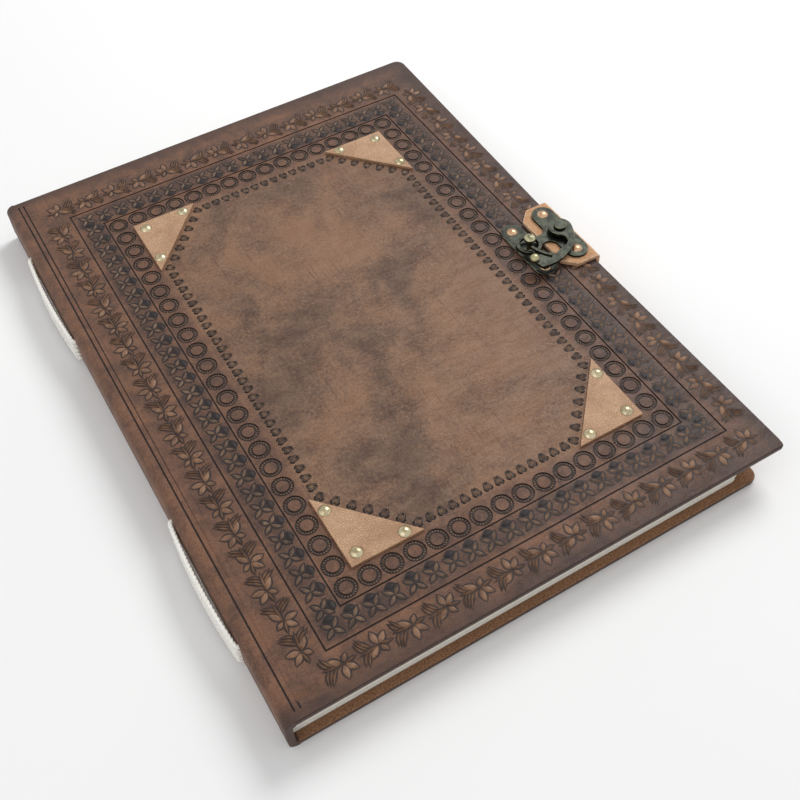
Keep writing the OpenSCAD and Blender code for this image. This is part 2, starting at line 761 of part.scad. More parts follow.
// Outline of the hook round its pivot: the disc, the curved arm with its hollow, the claw that
// passes behind the post, and the lever beyond the slot
module hook_outline() {
    cup = from_pivot(cup_out, cup_a);
    arm = -(arm_r - hook_disc_r) * [cos(arm_lean), -sin(arm_lean)];
    function ring_arc(r, a, b, n) = [for (i = [0:n]) from_pivot(r, a + (b - a) * i / n)];
    circle(hook_disc_r);
    polygon(concat(
        arc(arm.x, arm.y, arm_r, -arm_lean, arm_end_a, 16),
        [from_pivot(ball_out + 1, lever_a + 1)],
        ring_arc(slot_out_r, lever_a, slot_end_a, 5),
        ring_arc(claw_out_r, slot_end_a, claw_tip_a, 8),
        ring_arc(claw_in_r, claw_tip_a, claw_root_a, 7),
        [from_pivot(slot_out_r - slot_w * 2, lip_a)],
        arc(cup.x, cup.y, cup_r, cup_from_a, cup_to_a, 10),
        [[0, 0]]));
}

module swing_hook() {
    ball = from_pivot(ball_out, lever_a);
    color(bronze) translate([pivot_x, clasp_y, hook_z]) difference() {
        union() {
            linear_extrude(hook_t) hook_outline();
            translate([ball.x, ball.y, hook_t / 2 + ball_up]) rotate(ball_turn) sphere(d = ball_d);
        }
        translate([0, 0, -1]) cylinder(d = pivot_d + 2 * pivot_gap, h = hook_t + 2);
    }
}

back_cover();
strap_tail();
strap_rivets();
spine();
page_block();
sewing_cord();
front_cover();
patch(1, -1);  // patch_head_spine
patch(-1, -1);  // patch_head_fore
patch(1, 1);  // patch_tail_spine
patch(-1, 1);  // patch_tail_fore
patch_rivets();
catch_plate();
catch_post();
catch_rivets();
strap_flap();
hasp_plate();
hasp_rivets();
hook_pivot();
swing_hook();
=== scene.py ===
import math
import random

import bmesh
import bpy
from mathutils import Matrix, Vector


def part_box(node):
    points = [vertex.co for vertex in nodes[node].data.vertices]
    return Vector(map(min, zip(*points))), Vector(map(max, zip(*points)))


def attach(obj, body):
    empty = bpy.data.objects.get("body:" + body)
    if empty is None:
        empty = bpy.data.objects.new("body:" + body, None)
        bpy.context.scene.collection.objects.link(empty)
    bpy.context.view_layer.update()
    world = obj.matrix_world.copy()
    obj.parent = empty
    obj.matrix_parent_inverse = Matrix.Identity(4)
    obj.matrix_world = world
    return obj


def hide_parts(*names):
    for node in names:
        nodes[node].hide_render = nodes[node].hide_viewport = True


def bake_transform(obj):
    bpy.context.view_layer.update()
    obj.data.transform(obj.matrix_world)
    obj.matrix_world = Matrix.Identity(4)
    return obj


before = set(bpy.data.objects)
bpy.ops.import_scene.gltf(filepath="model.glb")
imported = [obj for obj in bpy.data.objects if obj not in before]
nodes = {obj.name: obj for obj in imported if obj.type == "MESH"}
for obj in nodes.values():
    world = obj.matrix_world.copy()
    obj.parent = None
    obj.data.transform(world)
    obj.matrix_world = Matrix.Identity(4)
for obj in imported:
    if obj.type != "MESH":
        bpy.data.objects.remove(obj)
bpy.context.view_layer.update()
mm = 0.001
chance = random.Random(7)
workshop = {
    "solidWeld": 0.002 * mm,  # doubles nearer than this are merged in a copy of a solid
    "shapeWeld": 0.001 * mm,  # and in a new shape
    "coplanar": 0.5,  # degrees within which the faces of such a copy are made one
    "sharpFrom": 40,  # degrees from which an edge of such a copy is rounded
    "largeFace": 4e-6,  # square metres from which a face is shaded flat
    "gatherings": 5,  # folded sheets of pages, sewn in one above the other
}

frontLow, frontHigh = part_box("front_cover")
backLow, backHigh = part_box("back_cover")
spineLow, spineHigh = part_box("spine")
pagesLow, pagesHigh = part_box("page_block")
leatherThick = backHigh.z - backLow.z
hingeX = frontLow.x  # where both covers meet the folds of the spine
gatherDepth = (pagesHigh.z - pagesLow.z) / workshop["gatherings"]
print("frame loaded")


# Working helpers

def clearSelection():
    if bpy.context.object and bpy.context.object.mode != "OBJECT":
        bpy.ops.object.mode_set(mode="OBJECT")
    bpy.ops.object.select_all(action="DESELECT")


def pick(piece):
    clearSelection()
    piece.select_set(True)
    bpy.context.view_layer.objects.active = piece


def applyModifiers(piece):
    pick(piece)
    for modifier in list(piece.modifiers):
        bpy.ops.object.modifier_apply(modifier=modifier.name)


def justAdded(name):
    piece = bpy.context.object
    piece.name = name
    piece.data.name = name
    return piece


def placeInMesh(piece):
    pick(piece)
    bpy.ops.object.transform_apply(location=True, rotation=True, scale=True)


def smoothByAngle(piece, degrees=35):
    pick(piece)
    bpy.ops.object.shade_smooth_by_angle(angle=math.radians(degrees))


def newObject(name, data):
    piece = bpy.data.objects.new(name, data)
    bpy.context.scene.collection.objects.link(piece)
    return piece


def selectParts(piece, kind, wanted):  # leaves the piece in edit mode with the wanted parts selected
    if piece.mode != "EDIT":
        pick(piece)
        bpy.ops.object.mode_set(mode="EDIT")
    bpy.ops.mesh.select_mode(type=kind)
    bpy.ops.mesh.select_all(action="DESELECT")
    mesh = bmesh.from_edit_mesh(piece.data)
    for part in {"VERT": mesh.verts, "EDGE": mesh.edges, "FACE": mesh.faces}[kind]:
        if wanted(part):
            part.select_set(True)
    bmesh.update_edit_mesh(piece.data)


def flattenLevel(piece):  # level and large faces are shaded flat, so no bevel bends their shading
    def isFlat(face):
        return abs(face.normal.z) > 0.999 or face.calc_area() > workshop["largeFace"]

    selectParts(piece, "FACE", isFlat)
    bpy.ops.mesh.faces_shade_flat()
    bpy.ops.object.mode_set(mode="OBJECT")


def joinPieces(pieces, name):
    clearSelection()
    for piece in pieces:
        piece.select_set(True)
    bpy.context.view_layer.objects.active = pieces[0]
    if len(pieces) > 1:
        bpy.ops.object.join()
    return justAdded(name)


def mergedCopy(node, name):  # a welded copy of a solid, with its flat faces whole again
    piece = newObject(name, nodes[node].data.copy())
    piece.data.materials.clear()
    pick(piece)
    bpy.ops.object.mode_set(mode="EDIT")
    bpy.ops.mesh.select_all(action="SELECT")
    bpy.ops.mesh.remove_doubles(threshold=workshop["solidWeld"])
    bpy.ops.mesh.dissolve_limited(angle_limit=math.radians(workshop["coplanar"]))
    bpy.ops.object.mode_set(mode="OBJECT")
    return piece


def roundEdges(piece, width, segments, degrees):
    bevel = piece.modifiers.new("edges", "BEVEL")
    bevel.width = width
    bevel.segments = segments
    bevel.limit_method = "ANGLE"
    bevel.angle_limit = math.radians(degrees)
    applyModifiers(piece)


def softCopy(node, name, width, segments=2):  # such a copy with its edges rounded
    piece = mergedCopy(node, name)
    roundEdges(piece, width, segments, workshop["sharpFrom"])
    smoothByAngle(piece, 50)
    flattenLevel(piece)
    return piece


def startFace(name, spot, across, along):  # a level face, selected in edit mode
    clearSelection()
    bpy.ops.mesh.primitive_plane_add(size=1, location=spot)
    piece = justAdded(name)
    piece.scale = (across, along, 1)
    placeInMesh(piece)
    bpy.ops.object.mode_set(mode="EDIT")
    bpy.ops.mesh.select_mode(type="FACE")
    bpy.ops.mesh.select_all(action="SELECT")
    return piece


def pull(x, z):
    bpy.ops.mesh.extrude_region_move(TRANSFORM_OT_translate={"value": (x, 0, z)})


def mergeDoubles():
    bpy.ops.mesh.select_all(action="SELECT")
    bpy.ops.mesh.remove_doubles(threshold=workshop["shapeWeld"])


def closeShape():  # its open ends are filled and its faces turned outwards
    bpy.ops.mesh.select_all(action="SELECT")
    bpy.ops.mesh.fill_holes(sides=0)
    bpy.ops.mesh.normals_make_consistent(inside=False)
    bpy.ops.object.mode_set(mode="OBJECT")


def stampCopies(stamp, places, name):  # one stamp, copied to each (x, y, turn, scale)
    shape = stamp.data
    points = [v.co.copy() for v in shape.vertices]
    faces = [tuple(p.vertices) for p in shape.polygons]
    allPoints, allFaces = [], []
    for x, y, turn, size in places:
        offset = len(allPoints)
        spin = Matrix.Rotation(turn, 4, "Z")
        for p in points:
            q = spin @ Vector((p.x * size, p.y * size, p.z))
            allPoints.append((q.x + x, q.y + y, q.z))
        allFaces += [tuple(i + offset for i in f) for f in faces]
    mesh = bpy.data.meshes.new(name)
    mesh.from_pydata(allPoints, [], allFaces)
    piece = newObject(name, mesh)
    bpy.data.objects.remove(stamp)
    smoothByAngle(piece, 60)
    return piece


def finish(piece, body, material, replacing=()):
    piece.data.materials.clear()
    piece.data.materials.append(material)
    if body:
        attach(piece, body)
    if replacing:
        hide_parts(*replacing)


# Shader helpers

def add(tree, kind, values=(), **settings):
    item = tree.nodes.new("ShaderNode" + kind)
    for key, value in settings.items():
        setattr(item, key, value)
    for socket, value in dict(values).items():
        if hasattr(value, "is_output"):
            tree.links.new(value, item.inputs[socket])
        else:
            item.inputs[socket].default_value = value
    return item


def maths(tree, operation, a, b=0.0, clamp=False):
    return add(tree, "Math", {0: a, 1: b}, operation=operation, use_clamp=clamp).outputs[0]


def plus(tree, a, b, clamp=False):
    return maths(tree, "ADD", a, b, clamp)


def minus(tree, a, b):
    return maths(tree, "SUBTRACT", a, b)


def times(tree, a, b, clamp=False):
    return maths(tree, "MULTIPLY", a, b, clamp)


def blend(tree, factor, a, b):
    return add(tree, "Mix", {0: factor, 6: a, 7: b}, data_type="RGBA").outputs[2]


def ramp(tree, value, low, high):  # a smooth step from low to high
    return add(tree, "MapRange", {0: value, 1: low, 2: high}, interpolation_type="SMOOTHSTEP").outputs[0]


def noise(tree, where, scale, detail, roughness=0.5):
    return add(tree, "TexNoise", {"Vector": where, "Scale": scale, "Detail": detail,
                                  "Roughness": roughness}).outputs["Fac"]


def newGroup(name, ins, outs):
    tree = bpy.data.node_groups.new(name, "ShaderNodeTree")
    for label, kind, value in ins:
        socket = tree.interface.new_socket(label, in_out="INPUT", socket_type="NodeSocket" + kind)
        if value is not None:
            socket.default_value = value
    for label, kind in outs:
        tree.interface.new_socket(label, in_out="OUTPUT", socket_type="NodeSocket" + kind)
    given = tree.nodes.new("NodeGroupInput").outputs
    made = tree.nodes.new("NodeGroupOutput").inputs
    return tree, given, made


def place(tree, groupTree, values):
    item = tree.nodes.new("ShaderNodeGroup")
    item.node_tree = groupTree
    for socket, value in values.items():
        if hasattr(value, "is_output"):
            tree.links.new(value, item.inputs[socket])
        else:
            item.inputs[socket].default_value = value
    return item.outputs


def colour(r, g, b):  # from the 0 to 255 of a picture to the linear values of a shader
    def linear(c):
        c = c / 255
        return c / 12.92 if c <= 0.04045 else ((c + 0.055) / 1.055) ** 2.4
    return (linear(r), linear(g), linear(b), 1)


def makeHideGrain():  # pebbled grain, with fine pores between the pebbles
    tree, given, made = newGroup(
        "hideGrain",
        [("Vector", "Vector", None), ("Pebble size", "Float", 0.8), ("Pebble depth", "Float", 1.0),
         ("Crease depth", "Float", 0.5)],
        [("Height", "Float"), ("Pores", "Float")])
    where = given["Vector"]
    scale = maths(tree, "DIVIDE", 1000.0, given["Pebble size"])
    wobble = add(tree, "TexNoise", {"Vector": where, "Scale": 420.0, "Detail": 2.0}).outputs["Color"]
    bent = add(tree, "VectorMath", {0: wobble, 1: (0.0006, 0.0006, 0.0006)}, operation="MULTIPLY").outputs[0]
    spot = add(tree, "VectorMath", {0: where, 1: bent}, operation="ADD").outputs[0]
    cells = add(tree, "TexVoronoi", {"Vector": spot, "Scale": scale}, feature="DISTANCE_TO_EDGE")
    pebble = ramp(tree, cells.outputs["Distance"], 0.0, 0.35)
    broad = noise(tree, where, 160.0, 6.0, 0.62)
    drawn = add(tree, "Mapping", {"Vector": where, "Scale": (26.0, 90.0, 26.0), "Rotation": (0, 0, 0.5)})
    folds = noise(tree, drawn.outputs[0], 1.0, 7.0, 0.7)
    crease = ramp(tree, maths(tree, "ABSOLUTE", minus(tree, folds, 0.5)), 0.0, 0.035)
    height = plus(tree, times(tree, pebble, given["Pebble depth"]), times(tree, broad, 0.8))
    height = plus(tree, height, times(tree, crease, given["Crease depth"]))
    tree.links.new(height, made["Height"])
    tree.links.new(minus(tree, 1.0, pebble), made["Pores"])
    return tree


def makeCloudyStain():  # uneven dye: broad clouds broken up by small spots
    tree, given, made = newGroup(
        "cloudyStain",
        [("Vector", "Vector", None), ("Cloud size", "Float", 40.0), ("Spread", "Float", 0.18),
         ("Spots", "Float", 0.3)],
        [("Mask", "Float"), ("Specks", "Float")])
    where = given["Vector"]
    scale = maths(tree, "DIVIDE", 1000.0, given["Cloud size"])
    clouds = add(tree, "TexNoise", {"Vector": where, "Scale": scale, "Detail": 6.0, "Roughness": 0.62,
                                    "Distortion": 0.4}).outputs["Fac"]
    spots = minus(tree, noise(tree, where, 620.0, 3.0, 0.7), 0.5)
    mixed = plus(tree, clouds, times(tree, spots, given["Spots"]))
    low, high = minus(tree, 0.5, given["Spread"]), plus(tree, 0.5, given["Spread"])
    tree.links.new(ramp(tree, mixed, low, high), made["Mask"])
    tree.links.new(ramp(tree, noise(tree, where, 1900.0, 1.0), 0.4, 0.68), made["Specks"])
    return tree


def makeBoxDistance():  # how far a point lies outside a rectangle in X and Y, in metres
    tree, given, made = newGroup(
        "boxDistance",
        [("Vector", "Vector", None), ("Middle X", "Float", 0.0), ("Middle Y", "Float", 0.0),
         ("Half width", "Float", 0.1), ("Half height", "Float", 0.1)],
        [("Distance", "Float")])
    parts = add(tree, "SeparateXYZ", {0: given["Vector"]}).outputs
    ways = []
    for part, middle, half in ((parts[0], "Middle X", "Half width"), (parts[1], "Middle Y", "Half height")):
        off = maths(tree, "ABSOLUTE", minus(tree, part, given[middle]))
        ways.append(minus(tree, off, given[half]))
    tree.links.new(maths(tree, "MAXIMUM", ways[0], ways[1]), made["Distance"])
    return tree


def makeRimWearAndHighlight():  # rims, the faces that slant between flat and upright: wear on leather, wear with painted highlight on metal
    tree, given, made = newGroup(
        "rimWearAndHighlight",
        [("Normal", "Vector", None), ("Vector", "Vector", None), ("Amount", "Float", 1.0)],
        [("Mask", "Float")])
    up = maths(tree, "ABSOLUTE", add(tree, "SeparateXYZ", {0: given["Normal"]}).outputs[2])
    slant = times(tree, ramp(tree, up, 0.12, 0.3), minus(tree, 1.0, ramp(tree, up, 0.9, 0.985)))
    mask = times(tree, slant, ramp(tree, noise(tree, given["Vector"], 500.0, 3.0), 0.3, 0.6))
    tree.links.new(times(tree, mask, given["Amount"], clamp=True), made["Mask"])
    return tree


def makeScratches():  # thin dragged marks in three directions
    tree, given, made = newGroup(
        "scratches",
        [("Vector", "Vector", None), ("Length", "Float", 30.0), ("Amount", "Float", 0.5)],
        [("Mask", "Float")])
    broad = ramp(tree, noise(tree, given["Vector"], given["Length"], 1.0), 0.45, 0.6)
    total = None
    for turn, shift in ((0.35, 0.0), (1.15, 3.7), (2.2, 8.1)):
        laid = add(tree, "Mapping", {"Vector": given["Vector"], "Location": (shift, shift, 0.0),
                                     "Rotation": (0, 0, turn), "Scale": (900.0, 22.0, 22.0)})
        mark = times(tree, ramp(tree, noise(tree, laid.outputs[0], 1.0, 2.0), 0.66, 0.72), broad)
        total = mark if total is None else maths(tree, "MAXIMUM", total, mark)
    tree.links.new(times(tree, total, given["Amount"], clamp=True), made["Mask"])
    return tree


hideGrain = makeHideGrain()
scratches = makeScratches()
cloudyStain = makeCloudyStain()
boxDistance = makeBoxDistance()
rimWearAndHighlight = makeRimWearAndHighlight()


def grained(tree, where, size, depth, crease):
    return place(tree, hideGrain, {"Vector": where, "Pebble size": size, "Pebble depth": depth,
                                   "Crease depth": crease})


def stained(tree, where, size, spread, spots):
    return place(tree, cloudyStain, {"Vector": where, "Cloud size": size, "Spread": spread, "Spots": spots})


def rimWearAndHighlightMask(tree, spot, amount):
    return place(tree, rimWearAndHighlight, {"Normal": spot["Normal"], "Vector": spot["Object"],
                                    "Amount": amount})["Mask"]


def awayFrom(tree, where, middle, half):
    return place(tree, boxDistance, {"Vector": where, "Middle X": middle[0], "Middle Y": middle[1],
                                     "Half width": half[0], "Half height": half[1]})["Distance"]


def newMaterial(name, roughness, metallic=0.0, specular=0.5, sheen=0.0, coat=0.0, coatRoughness=0.3):
    material = bpy.data.materials.new(name)
    material.use_nodes = True
    tree = material.node_tree
    tree.nodes.clear()
    surface = tree.nodes.new("ShaderNodeBsdfPrincipled")
    out = tree.nodes.new("ShaderNodeOutputMaterial")
    tree.links.new(surface.outputs[0], out.inputs[0])
    surface.inputs["Roughness"].default_value = roughness
    surface.inputs["Metallic"].default_value = metallic
    surface.inputs["Specular IOR Level"].default_value = specular
    surface.inputs["Sheen Weight"].default_value = sheen
    surface.inputs["Coat Weight"].default_value = coat
    surface.inputs["Coat Roughness"].default_value = coatRoughness
    spot = tree.nodes.new("ShaderNodeTexCoord").outputs
    return material, tree, surface, spot


def bump(tree, surface, height, strength, depth):
    item = add(tree, "Bump", {"Height": height, "Strength": strength, "Distance": depth})
    tree.links.new(item.outputs[0], surface.inputs["Normal"])


coverLook = {
    "panelMiddle": (5.4 * mm, -3.4 * mm),
    "panelHalf": (73.5 * mm, 117 * mm),
    "outlineMiddle": (-9.3 * mm, 0),  # the spine side of the outline is far off, and not burnt
    "outlineHalf": (130.6 * mm, 165 * mm),
    "toolDepth": 0.5 * mm,
    "panel": colour(137, 100, 74),
    "panelDark": colour(80, 56, 43),
    "panelPale": colour(158, 126, 100),
    "border": colour(130, 91, 67),
    "borderDark": colour(92, 64, 51),
    "borderFrom": (-4.0 * mm, 3.0 * mm),  # here the panel's tones go over into the border's
    "tooled": colour(30, 24, 25),
    "specks": colour(60, 42, 36),
    "scratched": colour(66, 46, 38),
    "burnt": colour(58, 41, 36),
    "inside": colour(158, 120, 90),
    "insideDark": colour(116, 82, 58),
    "grain": (0.75, 0.5, 0.9),  # pebble size in mm, pebble depth and crease depth
    "clouds": (46.0, 0.14, 0.35),  # size in mm, spread and spots
    "mottle": (11.0, 0.2, 0.5),
    "speckShare": 0.35, "paleShare": 0.35,
    "foreTone": (30 * mm, 121 * mm, 0.38),  # browner from the first place to the second, and how much
    "burn": (-12 * mm, 0.5 * mm, 0.85),  # the same for the burnt rims, from the outline
    # pools of dye along the rows of stamps: way out from the panel and half width in mm, and strength
    "pools": ((18.8, 6.6, 0.62), (35.6, 7.6, 0.25), (6.1, 5.6, 0.3)),
}


def coverLeather(name, topZ, insideLow, insideHigh, tooled):
    look = coverLook
    material, tree, surface, spot = newMaterial(name, 0.5, specular=0.32, coat=0.05, coatRoughness=0.35)
    where = spot["Object"]
    parts = add(tree, "SeparateXYZ", {0: where}).outputs
    grain = grained(tree, where, *look["grain"])
    stain = stained(tree, where, *look["clouds"])
    fine = stained(tree, where, *look["mottle"])["Mask"]
    panelAway = awayFrom(tree, where, look["panelMiddle"], look["panelHalf"])
    panel = blend(tree, stain["Mask"], look["panelDark"], look["panel"])
    panel = blend(tree, times(tree, fine, look["paleShare"]), panel, look["panelPale"])
    border = blend(tree, fine, look["borderDark"], look["border"])
    skin = blend(tree, ramp(tree, panelAway, *look["borderFrom"]), panel, border)
    skin = blend(tree, times(tree, stain["Specks"], look["speckShare"]), skin, look["specks"])
    marks = place(tree, scratches, {"Vector": where, "Length": 40.0, "Amount": 0.45})["Mask"]
    skin = blend(tree, marks, skin, look["scratched"])
    foreFrom, foreTo, foreShare = look["foreTone"]
    skin = blend(tree, times(tree, ramp(tree, parts[0], foreFrom, foreTo), foreShare), skin, look["burnt"])
    edgeAway = awayFrom(tree, where, look["outlineMiddle"], look["outlineHalf"])
    burnFrom, burnTo, burnShare = look["burn"]
    uneven = times(tree, minus(tree, stain["Mask"], 1.0), 0.25)
    burn = plus(tree, ramp(tree, edgeAway, burnFrom, burnTo), uneven, clamp=True)
    skin = blend(tree, times(tree, burn, burnShare), skin, look["burnt"])
    if tooled:
        for middle, half, strength in look["pools"]:
            off = maths(tree, "ABSOLUTE", minus(tree, panelAway, middle * mm))
            near = minus(tree, 1.0, ramp(tree, off, (half - 2.5) * mm, (half + 1.0) * mm))
            pool = times(tree, near, plus(tree, times(tree, fine, -0.5), 1.0))
            skin = blend(tree, times(tree, pool, strength), skin, look["tooled"])
        # and the floors of the stamps are darkest
        deep = times(tree, maths(tree, "LESS_THAN", parts[2], topZ - 0.15 * mm),
                     maths(tree, "GREATER_THAN", parts[2], topZ - look["toolDepth"] - 0.05 * mm))
        skin = blend(tree, times(tree, deep, 0.9), skin, look["tooled"])
    flesh = times(tree, maths(tree, "GREATER_THAN", parts[2], insideLow),
                  maths(tree, "LESS_THAN", parts[2], insideHigh))
    fuzz = ramp(tree, noise(tree, where, 1300.0, 3.0, 0.7), 0.35, 0.65)
    skin = blend(tree, flesh, skin, blend(tree, fuzz, look["insideDark"], look["inside"]))
    tree.links.new(skin, surface.inputs["Base Color"])
    gloss = plus(tree, 0.4, times(tree, grain["Pores"], 0.25))
    gloss = plus(tree, gloss, times(tree, flesh, 0.4), clamp=True)
    tree.links.new(gloss, surface.inputs["Roughness"])
    bump(tree, surface, grain["Height"], 0.55, 0.22 * mm)
    return material


def dyedAndShadedLeather(name, dark, light):  # the burnished leather of the stamps, and the dark of their grounds, which is dye and painted shade
    material, tree, surface, spot = newMaterial(name, 0.5, specular=0.25)
    where = spot["Object"]
    stain = stained(tree, where, 5.0, 0.25, 0.5)
    grain = grained(tree, where, 0.7, 0.6, 0.3)
    tree.links.new(blend(tree, stain["Mask"], dark, light), surface.inputs["Base Color"])
    bump(tree, surface, grain["Height"], 0.4, 0.15 * mm)
    return material


def patchLeather():
    material, tree, surface, spot = newMaterial("patchLeather", 0.55)
    where = spot["Object"]
    grain = grained(tree, where, 1.1, 1.0, 0.3)
    stain = stained(tree, where, 14.0, 0.22, 0.4)
    skin = blend(tree, stain["Mask"], colour(176, 135, 101), colour(208, 168, 132))
    skin = blend(tree, times(tree, grain["Pores"], 0.4), skin, colour(126, 92, 68))
    skin = blend(tree, rimWearAndHighlightMask(tree, spot, 0.8), skin, colour(150, 112, 84))
    tree.links.new(skin, surface.inputs["Base Color"])
    bump(tree, surface, grain["Height"], 0.7, 0.25 * mm)
    return material


def strapSuede():
    material, tree, surface, spot = newMaterial("strapSuede", 0.92, specular=0.2, sheen=0.3)
    where = spot["Object"]
    fuzz = noise(tree, where, 1500.0, 4.0, 0.75)
    stain = stained(tree, where, 12.0, 0.25, 0.4)
    skin = blend(tree, stain["Mask"], colour(170, 120, 82), colour(206, 158, 116))
    skin = blend(tree, times(tree, ramp(tree, fuzz, 0.45, 0.6), 0.4), skin, colour(226, 190, 154))
    skin = blend(tree, rimWearAndHighlightMask(tree, spot, 1.0), skin, colour(232, 206, 178))
    tree.links.new(skin, surface.inputs["Base Color"])
    bump(tree, surface, fuzz, 0.8, 0.25 * mm)
    return material


def pagePaper(leaf):  # leaf is how thick one sheet looks at an edge
    material, tree, surface, spot = newMaterial("pagePaper", 0.85, specular=0.25)
    where = spot["Object"]
    height = add(tree, "SeparateXYZ", {0: where}).outputs[2]
    upright = maths(tree, "ABSOLUTE", add(tree, "SeparateXYZ", {0: spot["Normal"]}).outputs[2])
    side = minus(tree, 1.0, ramp(tree, upright, 0.3, 0.8))
    level = plus(tree, height, times(tree, noise(tree, where, 45.0, 2.0), 1.2 * mm))
    lines = maths(tree, "PINGPONG", level, leaf / 2)
    lines = ramp(tree, maths(tree, "DIVIDE", lines, leaf / 2), 0.0, 0.55)
    sheets = minus(tree, 1.0, times(tree, minus(tree, 1.0, lines), side))
    # painted shade in the gaps between gatherings, on the side faces
    away = maths(tree, "PINGPONG", minus(tree, height, pagesLow.z), gatherDepth / 2)
    gatheringGapShade = times(tree, minus(tree, 1.0, ramp(tree, away, 0.0, 0.22 * mm)), side)
    paper = blend(tree, noise(tree, where, 300.0, 3.0), colour(232, 228, 216), colour(246, 243, 234))
    # painted shade in the thin gaps between sheets on the page edges
    paper = blend(tree, times(tree, minus(tree, 1.0, sheets), 0.35), paper, colour(176, 168, 150))
    paper = blend(tree, times(tree, gatheringGapShade, 0.6), paper, colour(140, 130, 112))
    tree.links.new(paper, surface.inputs["Base Color"])
    bump(tree, surface, sheets, 0.5, 0.15 * mm)
    return material


def cottonCord():
    material, tree, surface, spot = newMaterial("cottonCord", 0.9, specular=0.2, sheen=0.2)
    fibre = noise(tree, spot["Object"], 2600.0, 3.0)
    thread = blend(tree, ramp(tree, fibre, 0.3, 0.6), colour(226, 222, 212), colour(252, 250, 244))
    tree.links.new(thread, surface.inputs["Base Color"])
    bump(tree, surface, fibre, 0.6, 0.12 * mm)
    return material


def wornAndHighlitMetal(name, dark, middle, bright, roughness, amount, brightAbove=1.0):
    # rims are made bright by wear and by painted highlight, and what stands above brightAbove is bright too
    material, tree, surface, spot = newMaterial(name, roughness, metallic=0.9)
    where = spot["Object"]
    stain = stained(tree, where, 5.0, 0.25, 0.5)
    skin = blend(tree, stain["Mask"], dark, middle)
    # painted highlight on the slanting rims, mixed with their wear
    skin = blend(tree, rimWearAndHighlightMask(tree, spot, amount), skin, bright)
    height = add(tree, "SeparateXYZ", {0: where}).outputs[2]
    skin = blend(tree, times(tree, maths(tree, "GREATER_THAN", height, brightAbove), 0.8), skin, bright)
    tree.links.new(skin, surface.inputs["Base Color"])
    tree.links.new(plus(tree, roughness, times(tree, stain["Mask"], -0.12)), surface.inputs["Roughness"])
    bump(tree, surface, noise(tree, where, 900.0, 4.0), 0.25, 0.08 * mm)
    return material


bronzeTones = (colour(32, 34, 31), colour(58, 60, 51))
frontLeather = coverLeather("frontLeather", frontHigh.z, -0.01, frontLow.z + 0.3 * mm, True)
backLeather = coverLeather("backLeather", frontHigh.z, backHigh.z - 0.3 * mm, backHigh.z + 0.5 * mm, False)
spineLeather = coverLeather("spineLeather", frontHigh.z, -1.0, -0.9, False)
reliefLeather = dyedAndShadedLeather("reliefLeather", colour(100, 73, 57), colour(146, 112, 87))
# these two darks are dye, and on the grounds also painted shade round the raised shapes
stampDarkDyeAndShade = dyedAndShadedLeather("stampDarkDyeAndShade", colour(26, 21, 23), colour(46, 35, 33))
vineDarkDyeAndShade = dyedAndShadedLeather("vineDarkDyeAndShade", colour(36, 28, 27), colour(60, 44, 38))
dotLeather = dyedAndShadedLeather("dotLeather", colour(74, 58, 50), colour(136, 110, 90))
tanLeather = patchLeather()
suede = strapSuede()
paper = pagePaper(0.42 * mm)
cotton = cottonCord()
bronze = wornAndHighlitMetal("antiqueBronze", *bronzeTones, colour(150, 146, 118), 0.46, 0.9)
hookBronze = wornAndHighlitMetal("hookBronze", *bronzeTones, colour(168, 162, 126), 0.46, 0.9,
                       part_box("hook_pivot")[1].z + 0.1 * mm)
champagne = wornAndHighlitMetal("champagneBrass", colour(128, 116, 88), colour(178, 164, 130), colour(214, 204, 172),
                      0.32, 0.5)
postBrass = wornAndHighlitMetal("postBrass", colour(74, 72, 56), colour(122, 118, 92), colour(196, 190, 154), 0.36, 0.8)
copper = wornAndHighlitMetal("copperBrass", colour(132, 96, 70), colour(186, 146, 112), colour(224, 196, 164), 0.32, 0.5)
print("materials made")


# Covers

cover = {
    "edgeRound": 0.7 * mm, "edgeSegments": 3,
    "inner": (108 * mm, 160 * mm),  # an upright edge nearer the middle than this is in a hole or a stamp
    "scrollFrom": 28.2 * mm,  # from the panel out to the scroll band
    "sunk": (0.6 * mm, 0.3 * mm),  # between these depths lies the floor of a stamp
    "spineLines": 5 * mm,  # the two lines beside the spine lie within this of the fold
    "lineEnd": 161 * mm,  # and end this far from the middle
    "levelBy": 0.48 * mm,
}


def roundOutline(piece, low, high):
    # rounds the cut edges all round, but not where the cover goes on into its fold
    def isCutEdge(edge):
        if len(edge.link_faces) != 2 or max(v.co.x for v in edge.verts) < hingeX + 0.01 * mm:
            return False
        middle = (edge.verts[0].co + edge.verts[1].co) / 2
        if abs(middle.x) < cover["inner"][0] and abs(middle.y) < cover["inner"][1]:
            return False
        one, other = edge.link_faces
        flat, side = (one, other) if abs(one.normal.z) > abs(other.normal.z) else (other, one)
        heights = [v.co.z for v in side.verts]
        return (abs(flat.normal.z) > 0.99 and abs(side.normal.z) < 0.1
                and max(heights) - min(heights) > (high - low) * 0.95)

    selectParts(piece, "EDGE", isCutEdge)
    bpy.ops.mesh.bevel(offset=cover["edgeRound"], segments=cover["edgeSegments"], profile=0.5)
    bpy.ops.object.mode_set(mode="OBJECT")
    smoothByAngle(piece, 40)
    flattenLevel(piece)


def levelScrollBand(piece):  # its plain recess gives way to the raised vine further on
    middle, half = coverLook["panelMiddle"], coverLook["panelHalf"]
    lowest, highest = (frontHigh.z - depth for depth in cover["sunk"])

    def isScrollFloor(v):
        away = max(abs(v.co.x - middle[0]) - half[0], abs(v.co.y - middle[1]) - half[1])
        besideSpine = v.co.x < hingeX + cover["spineLines"]
        spineLine = besideSpine and abs(abs(v.co.y) - cover["lineEnd"]) < 0.05 * mm
        return lowest < v.co.z < highest and away > cover["scrollFrom"] and not spineLine

    selectParts(piece, "VERT", isScrollFloor)
    bpy.ops.transform.translate(value=(0, 0, cover["levelBy"]))
    bpy.ops.object.mode_set(mode="OBJECT")


